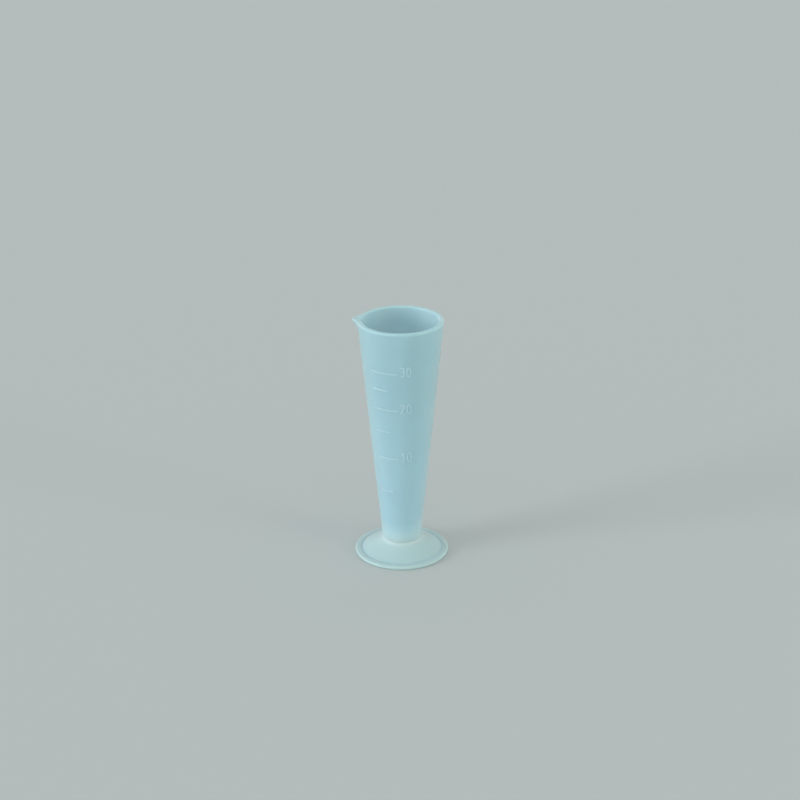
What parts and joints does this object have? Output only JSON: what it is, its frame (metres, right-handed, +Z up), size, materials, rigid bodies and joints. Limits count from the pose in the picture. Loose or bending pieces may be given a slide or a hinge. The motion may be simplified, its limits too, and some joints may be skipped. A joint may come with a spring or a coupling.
{
  "type": "conical measure",
  "caption": "Translucent plastic conical measure with a pouring beak, raised graduation lines and a wide hollow foot pressed onto its spigot.",
  "frame": {"origin": "on the cone's axis, in the plane that the foot stands on", "axes": "+Z up along the cone's axis, the pouring beak points along -X, the graduation lines are on the front, which faces -Y"},
  "size_m": [0.041, 0.0408, 0.108],
  "materials": {
    "natural_pp": "translucent, smooth with a soft satin shine",
    "natural_pp_foot": "translucent, a little milkier than the cup"
  },
  "bodies": {
    "root": {"graduated_cup": "natural_pp", "foot": "natural_pp_foot"}
  },
  "joints": []
}
